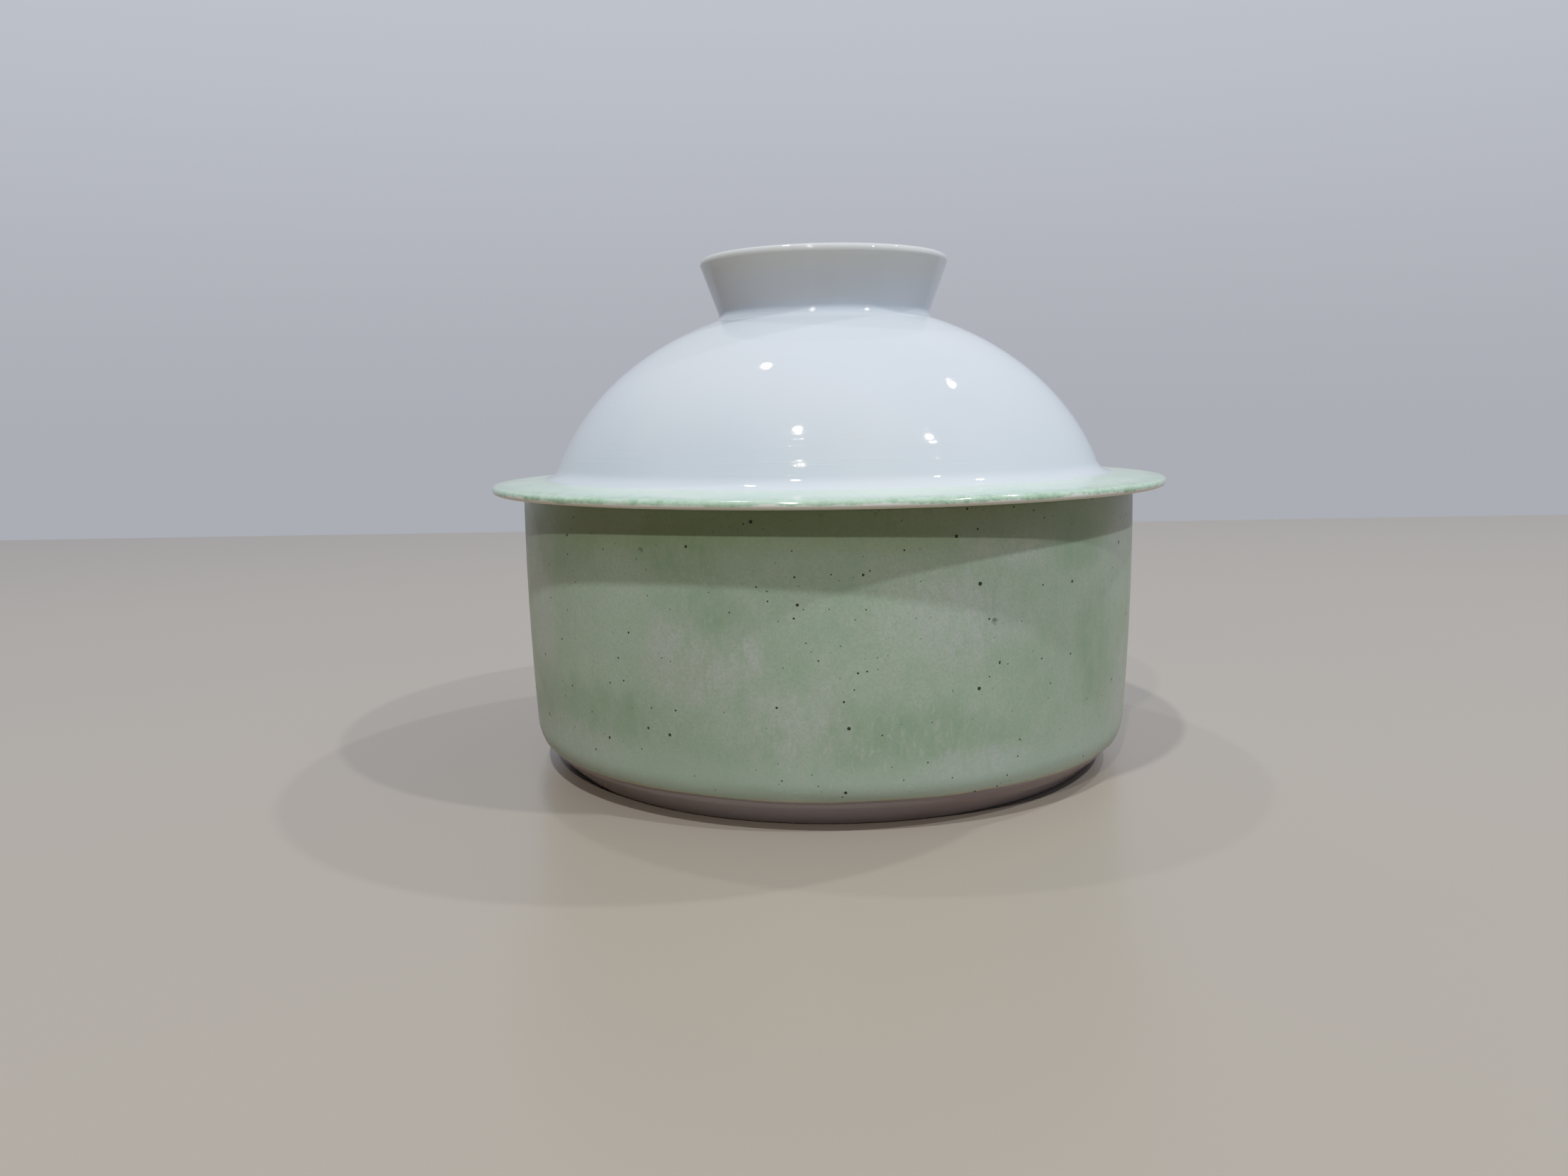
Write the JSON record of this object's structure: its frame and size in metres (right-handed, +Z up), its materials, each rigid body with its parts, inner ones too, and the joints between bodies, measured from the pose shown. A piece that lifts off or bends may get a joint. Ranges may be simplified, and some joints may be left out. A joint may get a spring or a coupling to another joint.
{
  "type": "rice bowl",
  "caption": "Straight-walled porcelain rice bowl with a low foot and a domed lid; the lid's wide brim overhangs the wall and a flared ring knob lifts it off.",
  "frame": {"origin": "centre of the foot ring on the table", "axes": "+Z up along the bowl's axis of revolution; the part is the same all round it"},
  "size_m": [0.196, 0.196, 0.145],
  "materials": {
    "white_porcelain": "clear gloss glaze over cool white porcelain",
    "green_glaze": "satin sage green glaze, mottled, with small iron specks"
  },
  "bodies": {
    "bowl": {"bowl_body": "white_porcelain", "bowl_glaze": "green_glaze"},
    "lid": {"lid_body": "white_porcelain", "lid_brim_glaze": "green_glaze", "lid_knob": "white_porcelain"}
  },
  "joints": [
    {"name": "lid_lift", "type": "slide", "parent": "bowl", "child": "lid", "axis": [0, 0, 1], "range_m": [0, 0.12]}
  ]
}
